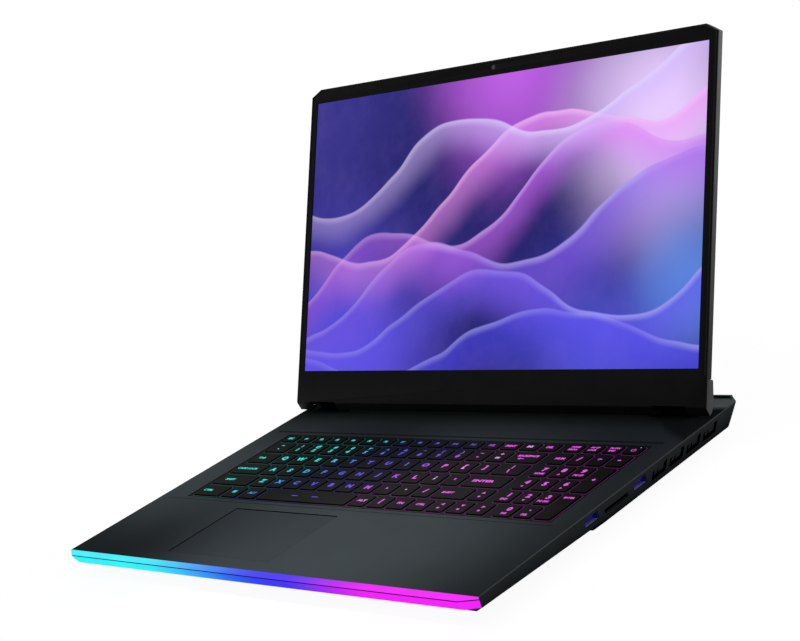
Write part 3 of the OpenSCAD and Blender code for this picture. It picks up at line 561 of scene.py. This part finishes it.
def islands(node):
    """The boxes of a node's separate solids, front row first, then left to right."""
    mesh = joined(node)
    left = set(mesh.verts)
    boxes = []
    while left:
        reached = {left.pop()}
        edge = set(reached)
        while edge:
            edge = {e.other_vert(v) for v in edge for e in v.link_edges} & left
            left -= edge
            reached |= edge
        boxes.append(extent([v.co for v in reached]))
    mesh.free()
    return sorted(boxes, key=lambda box: (round(box[0].y, 3), box[0].x))


def outline(half_x, half_y, radius, steps=4):
    """Points round a rectangle with rounded corners, from the +X side."""
    points = []
    for corner, (sx, sy) in enumerate(((1, 1), (-1, 1), (-1, -1), (1, -1))):
        for step in range(steps + 1):
            turn = (corner + step / steps) * math.pi / 2
            x = sx * (half_x - radius) + radius * math.cos(turn)
            y = sy * (half_y - radius) + radius * math.sin(turn)
            points.append((x, y))
    return points


def ring(mesh, centre, half_x, half_y, radius, z):
    """The vertices of an outline round the centre, at a height."""
    points = outline(half_x, half_y, radius)
    return [mesh.verts.new((centre[0] + x, centre[1] + y, z)) for x, y in points]


def bridge(mesh, lower, upper, material=0):
    """Joins two rings by a band of faces that look outwards or up."""
    for i in range(len(lower)):
        j = (i + 1) % len(lower)
        face = mesh.faces.new((lower[i], lower[j], upper[j], upper[i]))
        face.material_index = material


def loft(mesh, centre, rings, bands):
    """A closed solid through rings of (height, half width, half depth, radius).

    bands gives a material index for each band between two rings.
    """
    loops = [ring(mesh, centre, *sizes, z) for z, *sizes in rings]
    mesh.faces.new(reversed(loops[0]))
    mesh.faces.new(loops[-1])
    for lower, upper, material in zip(loops, loops[1:], bands):
        bridge(mesh, lower, upper, material)


# ---- key lettering ---------------------------------------------------------

CAP_HEIGHT = 0.72  # height of the built-in font's capitals at size 1
BOLD = 0.075  # how far each stroke of the letters is widened
LETTER_WIDTH = 1.15  # a single letter's or sign's width against the font's
WORD_WIDTH = 0.95  # a word's
ARROWS = {"left": 180, "down": 270, "right": 0, "up": 90}  # degrees from +X
SIGNS = {*ARROWS, "square", "dash", "power"}
_letters = {}  # what lettering() has made, by its text


def lettering(text):
    """A flat mesh of plain lettering, centred, with capitals one unit high."""
    if text not in _letters:
        curve = bpy.data.curves.new("lettering", "FONT")
        curve.body, curve.size, curve.resolution_u = text, 1 / CAP_HEIGHT, 2
        curve.offset = BOLD
        holder = bpy.data.objects.new("lettering", curve)
        scene.collection.objects.link(holder)
        bpy.context.view_layer.update()
        mesh = bpy.data.meshes.new_from_object(holder)
        bpy.data.objects.remove(holder)
        spots = [v.co.xy for v in mesh.vertices]
        low, high = extent(spots)
        middle = (low + high) / 2
        points = [(p.x - middle.x, p.y - middle.y) for p in spots]
        _letters[text] = points, [tuple(f.vertices) for f in mesh.polygons]
    return _letters[text]


def sign(name):
    """Points and faces of a small sign that isn't lettering, about one unit high."""
    if name in ARROWS:
        turn = Matrix.Rotation(math.radians(ARROWS[name]), 2)
        points = [turn @ Vector(p) for p in ((0.5, 0), (-0.35, 0.5), (-0.35, -0.5))]
        return [tuple(p) for p in points], [(0, 1, 2)]
    if name == "square":
        points = [(x, y) for x in (-0.5, 0.5) for y in (-0.5, 0.5)]
        return points, [(0, 2, 3, 1)]
    if name == "dash":
        points = [(-1, -0.16), (1, -0.16), (1, 0.16), (-1, 0.16)]
        return points, [(0, 1, 2, 3)]
    # power: a ring, open at the top, with a bar in the opening
    steps, inner, outer = 14, 0.36, 0.5
    start, sweep = 125, 290  # degrees
    points, faces = [], []
    for i in range(steps + 1):
        turn = math.radians(start + sweep * i / steps)
        points += [(r * math.cos(turn), r * math.sin(turn)) for r in (inner, outer)]
    for i in range(steps):
        faces.append((2 * i, 2 * i + 1, 2 * i + 3, 2 * i + 2))
    first = len(points)
    points += [(-0.07, 0.05), (0.07, 0.05), (0.07, 0.58), (-0.07, 0.58)]
    faces.append(tuple(range(first, first + 4)))
    return points, faces


def draw(mesh, centre, top, marks, material):
    """Adds a key's marks, each (text or sign, right, up, height) in millimetres.

    A fifth number is a word's width, in place of WORD_WIDTH.
    """
    for text, right, up, height, *wide in marks:
        points, faces = sign(text) if text in SIGNS else lettering(text)
        stretch = LETTER_WIDTH
        if len(text) > 1 and text not in SIGNS:
            stretch = wide[0] if wide else WORD_WIDTH
        verts = []
        for x, y in points:
            x = centre[0] + (right + x * height * stretch) * MM
            y = centre[1] + (up + y * height) * MM
            verts.append(mesh.verts.new((x, y, top)))
        for face in faces:
            mesh.faces.new([verts[i] for i in face]).material_index = material


# Layouts of one key's marks, as draw() takes them


def one(text):
    return [(text, -0.4, 0.9, 4.6)]


def two(above, below):
    return [(above, -0.4, 3.6, 3.2), (below, -0.4, -2.1, 4.0)]


def word(text, right=0.0, height=2.4, wide=1.25):
    return [(text, right, 0.4, height, wide)]


def pair(text, below):
    """A number pad key's digit, with its small second sign."""
    return [(text, 0.2, 2.2, 4.4), (below, -0.2, -3.6, 2.2)]


def top_row(text, below=None):
    """A low key's word, or two small ones."""
    if below:
        return [(text, 0, 1.9, 2.0), (below, 0, -1.8, 2.0)]
    return [(text, -0.4, 0.2, 2.6)]


# The marks of each node's keys, front row first, then left to right
LABELS = {
    "escape_key": [top_row("ESC")],
    "function_keys": [
        *(top_row(f"F{n}") for n in range(1, 13)),
        top_row("PRINT"),
        top_row("INS"),
        top_row("DEL"),
        top_row("HOME", "BREAK"),
        top_row("PG UP", "LOCK"),
        top_row("PG DN", "END"),
    ],
    "power_key": [[("power", 0, 0, 3.4)]],
    "number_keys": [two(*pairing) for pairing in zip("~!@#$%^&*()_+", "`1234567890-=")],
    "backspace_key": [
        [
            ("BACKSPACE", 0.2, 2.2, 2.5),
            ("dash", -3.4, -2.0, 2.2),
            ("left", -5.0, -2.0, 2.8),
        ]
    ],
    "letter_keys": [one(c) for c in "ZXCVBNM,./" + "ASDFGHJKL;'" + "QWERTYUIOP[]"],
    "side_keys": [word("CAPS LOCK", -2.5), word("TAB", -2.5), two("|", "\\")],
    "enter_key": [word("ENTER", -3.0, 2.8, 1.6)],
    "shift_keys": [word("SHIFT", -6.0), word("SHIFT", -5.0)],
    "modifier_keys": [
        word("CTRL", -5.0),
        [("square", -0.4, 0.6, 3.4)],
        word("ALT", 0, 2.6),
        word("ALT", 0, 2.6),
        one("|"),
        word("FN", 0, 2.6),
        word("CTRL", 0, 2.4, 1.0),
    ],
    "space_bar": [[("dash", -12, 0.5, 2.6), ("dash", 9, 0.5, 2.6)]],
    "arrow_keys": [
        [(way, 0.2, 2.6, 3.0), ("square", 0, -2.6, 1.8)]
        for way in ("left", "down", "right", "up")
    ],
    "pad_keys": [
        pair("0", "INS"),
        pair(".", "DEL"),
        pair("1", "END"),
        pair("2", "down"),
        pair("3", "PG DN"),
        pair("4", "left"),
        one("5"),
        pair("6", "right"),
        pair("7", "HOME"),
        pair("8", "up"),
        pair("9", "PG UP"),
        word("NUM", -0.2, 2.6, 1.0),
        one("/"),
        one("*"),
        one("-"),
    ],
    "pad_plus_key": [[("+", 0, 0.5, 3.4)]],
    "pad_enter_key": [[("ENTER", 0, 12.0, 2.0, 1.0)]],
}

# ---- keyboard --------------------------------------------------------------

POST_R = 1.5 * MM
ROUND = 0.999  # a round outline's corner radius against its half width
CORNER = 1.2 * MM  # radius of a cap's corners, seen from above
# A cap's sides from its foot up, then its hollow top: how far in from the cap's
# edge, and how far below its top, both in millimetres
CAP_SIDES = [(0, 1.8), (0, 0.62), (0.05, 0.4), (0.17, 0.2), (0.38, 0.06), (0.62, 0)]
CAP_HOLLOW = [(1.6, 0.03), (3.2, 0.05)]
PLASTIC, LEGEND, SIDE = range(3)
CAP_BANDS = [SIDE] * 6 + [PLASTIC] * 3
CAP_SMOOTH = math.radians(50)


def keycap(mesh, low, high, marks):
    """One cap on its post, with soft upper edges and its marks."""
    centre, half = (low + high) / 2, (high - low) / 2
    foot = high.z - CAP_SIDES[0][1] * MM
    rings = [(z, POST_R, POST_R, POST_R * ROUND) for z in (low.z, foot)]
    for inset, depth in CAP_SIDES + CAP_HOLLOW:
        inset, depth = inset * MM, depth * MM
        rings.append((high.z - depth, half.x - inset, half.y - inset, CORNER))
    loft(mesh, centre, rings, CAP_BANDS)
    draw(mesh, centre, high.z, marks, LEGEND)


def keyboard():
    """Every key node's caps, with their lit marks."""
    materials = [SURFACES["key_plastic"], LIT["legend"], SURFACES["key_side"]]
    for node, labels in LABELS.items():
        mesh = bmesh.new()
        for (low, high), marks in zip(islands(node), labels, strict=True):
            keycap(mesh, low, high, marks)
        piece = new_object(f"{node}_caps", mesh, materials, CAP_SMOOTH)
        stands_for(piece, node)


def key_glow_strips():
    """Glowing strips round each key: a painted glow for the light that leaks out round it."""
    inner, outer, rise = 0.40 * MM, 0.95 * MM, 0.03 * MM
    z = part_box("keyboard_frame")[1].z + rise
    mesh = bmesh.new()
    for node in LABELS:
        for low, high in islands(node):
            centre, half = (low + high) / 2, (high - low) / 2
            near, far = (
                ring(mesh, centre, half.x + out, half.y + out, CORNER + out, z)
                for out in (inner, outer)
            )
            bridge(mesh, far, near)
    piece = new_object("key_light_spill", mesh, [LIT["key_backlight"]])
    belongs_to(piece, "base")


# ---- which face of a node takes which look ---------------------------------

SIDE_X = 0.1975  # faces further out are on the casing's left or right side
SLOT_MOUTH_X = 0.197
HINGE_FRONT_Y = 0.075  # the hinge cover's foot is painted black, as shade, in front of this
USB_FLOOR_Z = 0.0135  # the floor of a port's mouth lies below this
USB_TONGUE_Z = 0.01575
USB_TONGUE_HALF = 1.0 * MM
RECESS_X = 0.189  # the keyboard's recess, with its sloping rim
RECESS_Y = (-0.1, 0.04)
VENT_X = 0.190  # the vents' walls lie beyond this
VENT_TOP_Z = 0.0185


def on_rim(centre, normal):
    """Whether a face lies on the open lid's rim, apart from its foot."""
    low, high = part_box("screen_bezel")
    outward = (centre - (low + high) / 2).dot(normal) > 0
    return outward and abs(normal.dot(LID_OUT)) < 0.5 and normal.z > -0.3


def cover_face(centre, normal):
    return "lid_rim" if on_rim(centre, normal) else "lid_metal"


def bezel_face(centre, normal):
    """Only the upper edge and corners of the bezel look like metal."""
    upper = normal.z > 0.2 and on_rim(centre, normal)
    return "lid_rim" if upper else "bezel_plastic"


def hinge_face(centre, normal):
    """The hinge cover is black below and in front, a painted shade, and metal behind and at its ends."""
    # painted shade below and in front of the lid's foot
    foot = normal.z < -0.3 and centre.y < HINGE_FRONT_Y
    return "bezel_plastic" if normal.y < -0.15 or foot else "lid_metal"


def usb_face(centre, normal):
    """A port's shell is dark, its tongue blue and the floor of its mouth pale."""
    if normal.z > 0.5 and centre.z < USB_FLOOR_Z:
        return "port_foot"
    tongue = abs(centre.z - USB_TONGUE_Z) < USB_TONGUE_HALF
    return "port_blue" if tongue and abs(centre.x) < SIDE_X else "port_shell"


def slot_face(centre, normal):
    """The card slot is black but for the rim of its mouth."""
    rim = normal.x > 0.9 and centre.x > SLOT_MOUTH_X
    return "case_side" if rim else "port_black"


def case_face(centre, normal):
    """The casing has a painted highlight along its sides' upper edges, and painted shade
    in its openings and on the slopes round the keyboard."""
    x, y = abs(centre.x), centre.y
    # painted highlight on the sides' upper edges
    if x > SIDE_X and normal.z > 0.3 and abs(normal.x) > 0.3:
        return "case_edge_highlight"
    if x > SIDE_X and abs(normal.x) > 0.9:
        return "case_side"
    in_recess = x < RECESS_X and RECESS_Y[0] < y < RECESS_Y[1]
    # painted shade on the recess slopes
    if in_recess and 0.5 < normal.z < 0.995 and abs(normal.y) > 0.1:
        return "case_slope_shade"
    low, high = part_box("touchpad")
    # painted shadow in the gap round the touchpad
    by_pad = low.x - MM < centre.x < high.x + MM and low.y - MM < y < high.y + MM
    # painted shade on the vents' walls
    in_vent = x > VENT_X and centre.z < VENT_TOP_Z and abs(normal.x) < 0.5
    return "inside" if by_pad or in_vent else "case_metal"


# ---- small parts -----------------------------------------------------------


def power_light():
    """A small lamp near the power key's right rear corner."""
    radius, corner = 0.35 * MM, 0.99  # the corner against the radius
    from_right, from_rear = 3.4 * MM, 1.3 * MM
    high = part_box("power_key")[1]
    mesh = bmesh.new()
    rings = []
    for rise, share in ((-0.03, 1), (0.01, 1), (0.04, 0.7)):
        size = radius * share
        rings.append((high.z + rise * MM, size, size, size * corner))
    loft(mesh, (high.x - from_right, high.y - from_rear), rings, [0, 0])
    shader = Shader("power_lamp", Roughness=0.3, Emission_Strength=0.6)
    dim, bright = (0.7, 0.8, 0.9, 1), (0.9, 0.95, 1, 1)
    shader.drive("Emission Color", shader.mix(shader.noise(800.0), dim, bright))
    piece = new_object("power_lamp", mesh, [shader.material])
    belongs_to(piece, BODY["power_key"])


def touchpad_edges():
    """Shadow lines on the deck along the touchpad's left and rear edges."""
    step, out, width, rise = 0.15 * MM, 0.25 * MM, 0.60 * MM, 0.03 * MM
    shaft = 4.0 * MM  # how far the pivot's ends stick out from the pad
    low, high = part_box("touchpad")
    deck = high.z + step
    left, right = low.x + shaft - out, high.x - shaft - out
    front, rear = low.y - out, high.y + out
    mesh = bmesh.new()
    for x_range, y_range in (
        ((left - width, left), (front, rear)),
        ((left, right), (rear, rear + width)),
    ):
        for vert in bmesh.ops.create_cube(mesh, size=1.0)["verts"]:
            x, y, z = (int(value > 0) for value in vert.co)
            vert.co = (x_range[x], y_range[y], deck + z * rise)
    piece = new_object("touchpad_edge_lines", mesh, [SURFACES["inside"]])
    belongs_to(piece, "base")


def lid_seam():
    """A dark strip behind the joint between the lid's cover and the hinge cover."""
    width, tall, deep = 0.3934, 1.0 * MM, 4.8 * MM
    rise, out = 16.6 * MM, 3.3 * MM  # its middle, from the hinge
    middle = Vector(LID_JOINT["pos_m"]) + LID_UP * rise + LID_OUT * out
    mesh = bmesh.new()
    bmesh.ops.create_cube(mesh, size=1.0)
    for vert in mesh.verts:
        x, y, z = vert.co
        vert.co = middle + LID_UP * y * tall + LID_OUT * z * deep
        vert.co.x += x * width
    bmesh.ops.bevel(mesh, geom=mesh.edges[:], offset=0.1 * MM, **BEVEL)
    piece = new_object("lid_seam_strip", mesh, [SURFACES["bezel_plastic"]])
    belongs_to(piece, BODY["lid_cover"])


def dress_nodes():
    """Every node that keeps its CAD mesh takes the material of its slot."""
    special = {
        "light_bar_seam": LIT["bar_edge"],
        "keyboard_plate": SURFACES["dark_plastic"],
        "keyboard_frame": SURFACES["key_well"],
        "screen_glass": LIT["display"],
    }
    for node, thing in NODES.items():
        if thing.hide_render:
            continue
        thing.data.materials.clear()
        thing.data.materials.append(special.get(node) or SURFACES[SLOT[node]])
        for face in thing.data.polygons:
            face.material_index = 0


# ---- camera and light ------------------------------------------------------

PHOTO_SIZE = (800, 641)
# Fitted to the photograph: metres, directions and the photograph's pixels
CAMERA = {
    "place": (0.89154, -0.80733, 0.42452),
    "forward": (-0.71900, 0.64964, -0.24697),
    "right": (0.69462, 0.65987, -0.28648),
    "focal_px": 1815.88,
    "centre_px": (384.95, 323.23),
}
WORLD_LIGHT = 0.22  # the white world's light on the object
FLOOR_LIGHT = (0.945, 0.985)  # the floor's white, near the object and far away
FLOOR_REACH = (0.3, 2.0)  # how far out those are, in metres
FLOOR_GREY = 0.18
FLOOR_HALF = 60.0
# Soft disks of light: place, target, watts, width
DISKS = {
    "top_lamp": ((-0.45, -0.15, 1.3), (0, 0, 0), 1.1, 0.9),
    "back_lamp": ((0.5, 1.3, 0.6), (0, 0, 0.1), 3.0, 0.8),
}
# Spots on the palm rest and on the deck's left: place, target, watts, full angle
SPOTS = {
    "palm_lamp": ((0.035, -0.45, 0.95), (0.035, -0.125, 0.02), 34.5, 20),
    "left_lamp": ((-0.42, -0.06, 0.45), (-0.186, -0.05, 0.02), 7.0, 25),
}
SPOT_RADIUS = 0.03


def camera():
    """The photograph's camera."""
    data = bpy.data.cameras.new("camera")
    made = bpy.data.objects.new("camera", data)
    scene.collection.objects.link(made)
    width, height = PHOTO_SIZE
    data.sensor_fit, data.sensor_width = "HORIZONTAL", 36.0
    data.lens = CAMERA["focal_px"] / width * data.sensor_width
    data.shift_x = (width / 2 - CAMERA["centre_px"][0]) / width
    data.shift_y = (CAMERA["centre_px"][1] - height / 2) / width
    data.clip_start, data.clip_end = 0.05, 50
    forward = Vector(CAMERA["forward"]).normalized()
    right = Vector(CAMERA["right"])
    right = (right - right.dot(forward) * forward).normalized()
    up = right.cross(forward)
    turn = Matrix((right, up, -forward)).transposed()
    made.matrix_world = Matrix.Translation(CAMERA["place"]) @ turn.to_4x4()
    scene.camera = made


def lamp(name, kind, place, target, power):
    """A lamp aimed at its target. Returns its data."""
    data = bpy.data.lights.new(name, kind)
    data.energy = power
    made = bpy.data.objects.new(name, data)
    scene.collection.objects.link(made)
    made.location = place
    aim = Vector(target) - Vector(place)
    made.rotation_euler = aim.to_track_quat("-Z", "Y").to_euler()
    return data


def lamps():
    """Every lamp of the scene."""
    for name, (place, target, power, width) in DISKS.items():
        data = lamp(name, "AREA", place, target, power)
        data.shape, data.size = "DISK", width
    for name, (place, target, power, angle) in SPOTS.items():
        data = lamp(name, "SPOT", place, target, power)
        data.spot_size, data.spot_blend = math.radians(angle), 1.0
        data.shadow_soft_size = SPOT_RADIUS


def seen_directly(tree):
    """1 for camera, glossy and transmission rays, so that all see the white."""
    path = tree.nodes.new("ShaderNodeLightPath").outputs
    seen = path["Is Camera Ray"]
    for ray in ("Is Glossy Ray", "Is Transmission Ray"):
        inputs = {0: seen, 1: path[ray]}
        seen = add_node(tree, "ShaderNodeMath", inputs, operation="MAXIMUM")
    return seen


def white_world():
    """Plain light on the object, and white wherever the world itself is seen."""
    scene.world = bpy.data.worlds.new("studio")
    scene.world.use_nodes = True
    tree = scene.world.node_tree
    inputs = {"Value": seen_directly(tree), "To Min": WORLD_LIGHT, "To Max": 1.0}
    level = add_node(tree, "ShaderNodeMapRange", inputs)
    background = tree.nodes["Background"].inputs
    feed(tree, background["Strength"], level)
    feed(tree, background["Color"], (1, 1, 1, 1))


def pale_floor():
    """A floor that is white to the eye but keeps a light shadow."""
    material = bpy.data.materials.new("floor")
    material.use_nodes = True
    tree = material.node_tree
    tree.nodes.remove(tree.nodes["Principled BSDF"])
    place = add_node(tree, "ShaderNodeTexCoord", {}, "Object")
    inputs = {0: place}
    away = add_node(tree, "ShaderNodeVectorMath", inputs, "Value", operation="LENGTH")
    inputs = {
        "Value": away,
        "From Min": FLOOR_REACH[0],
        "From Max": FLOOR_REACH[1],
        "To Min": FLOOR_LIGHT[0],
        "To Max": FLOOR_LIGHT[1],
    }
    white = add_node(tree, "ShaderNodeMapRange", inputs)
    inputs = {0: seen_directly(tree), 1: white}
    white = add_node(tree, "ShaderNodeMath", inputs, operation="MULTIPLY")
    white = add_node(tree, "ShaderNodeEmission", {"Strength": white})
    grey = (FLOOR_GREY, FLOOR_GREY, FLOOR_GREY, 1)
    matt = add_node(tree, "ShaderNodeBsdfDiffuse", {"Color": grey})
    both = add_node(tree, "ShaderNodeAddShader", {0: matt, 1: white})
    feed(tree, tree.nodes["Material Output"].inputs["Surface"], both)

    mesh = bmesh.new()
    bmesh.ops.create_grid(mesh, x_segments=2, y_segments=2, size=FLOOR_HALF)
    new_object("floor", mesh, [material])


# ---- the scene -------------------------------------------------------------

# Nodes whose edges are rounded: by how much in millimetres, their looks, which face
# takes which, and how long in millimetres an edge must be
ROUNDED = {
    "lid_cover": (0.25, ("lid_metal", "lid_rim"), cover_face, 0),
    "hinge_cover": (0.2, ("lid_metal", "bezel_plastic"), hinge_face, 0),
    "screen_bezel": (0.12, ("bezel_plastic", "lid_rim"), bezel_face, 0),
    "touchpad": (0.2, ("touch_glass",), None, 0),
    "top_case": (
        0.15,
        ("case_metal", "case_side", "case_edge_highlight", "inside", "case_slope_shade"),
        case_face,
        1.2,
    ),
    "usb_ports": (0.08, ("port_shell", "port_blue", "port_foot"), usb_face, 0),
    "memory_card_slot": (0.05, ("port_black", "case_side"), slot_face, 0),
    "bottom_cover": (0.3, ("dark_plastic",), None, 2.0),
    "rubber_feet": (0.3, ("rubber",), None, 0),
    "light_bar_upper": (0.05, ("bar_upper",), None, 0),
    "light_bar_lower": (0.2, ("bar_lower",), None, 0),
}

camera()
white_world()
pale_floor()
lamps()
keyboard()
key_glow_strips()
power_light()
lid_seam()
touchpad_edges()
for node, (rounding, looks, pick, shortest) in ROUNDED.items():
    refine(node, rounding * MM, looks, pick, shortest * MM)
dress_nodes()
